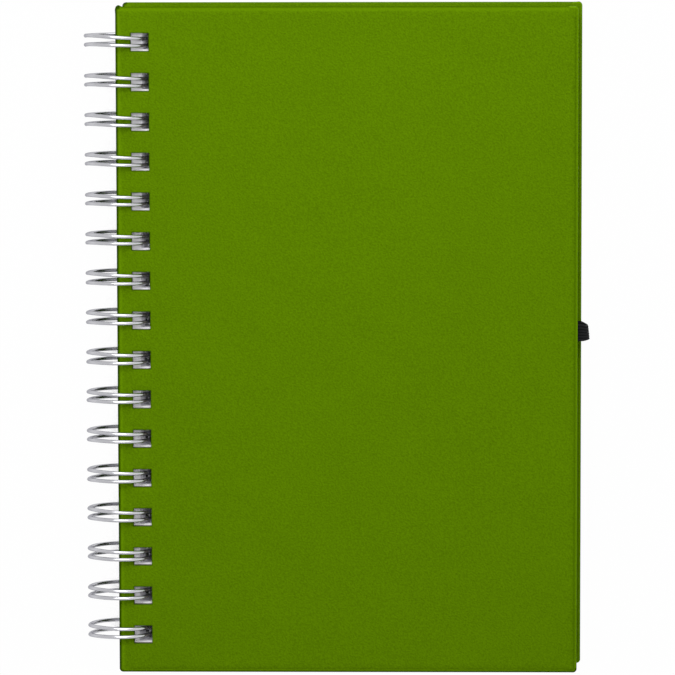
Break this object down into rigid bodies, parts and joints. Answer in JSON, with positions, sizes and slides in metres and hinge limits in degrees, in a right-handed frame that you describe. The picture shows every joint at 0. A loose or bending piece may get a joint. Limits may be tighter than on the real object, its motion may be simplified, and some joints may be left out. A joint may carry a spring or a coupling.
{
  "type": "spiral notebook",
  "caption": "Hard-cover notebook with green leatherette covers, a twin-loop wire binding along the spine and an elastic pen loop; both covers open on the rings.",
  "frame": {"origin": "on the table under the middle of the notebook's box, lying on its back cover", "axes": "+X from the wire-bound spine to the fore edge, +Y up the page, +Z out of the front cover"},
  "size_m": [0.1616, 0.215, 0.0216],
  "materials": {
    "leatherette": "fine-grained green leatherette, satin",
    "greyboard": "raw grey bookbinding board",
    "lining_paper": "smooth off-white lining paper",
    "leaf_paper": "uncoated white writing paper",
    "wire": "bright silver coated steel wire",
    "elastic": "ribbed black woven elastic"
  },
  "bodies": {
    "book": {"page_block": "leaf_paper", "wire_binding": "wire"},
    "front_cover": {"front_board": "greyboard", "front_wrap": "leatherette", "front_lining": "lining_paper"},
    "back_cover": {"back_board": "greyboard", "back_wrap": "leatherette", "back_lining": "lining_paper", "pen_loop": "elastic"}
  },
  "joints": [
    {"name": "front_cover_turn", "type": "hinge", "parent": "book", "child": "front_cover", "pos_m": [-0.07004, 0, 0.01082], "axis": [0, -1, 0], "range_deg": [0, 180]},
    {"name": "back_cover_turn", "type": "hinge", "parent": "book", "child": "back_cover", "pos_m": [-0.07004, 0, 0.01082], "axis": [0, 1, 0], "range_deg": [0, 180]}
  ]
}
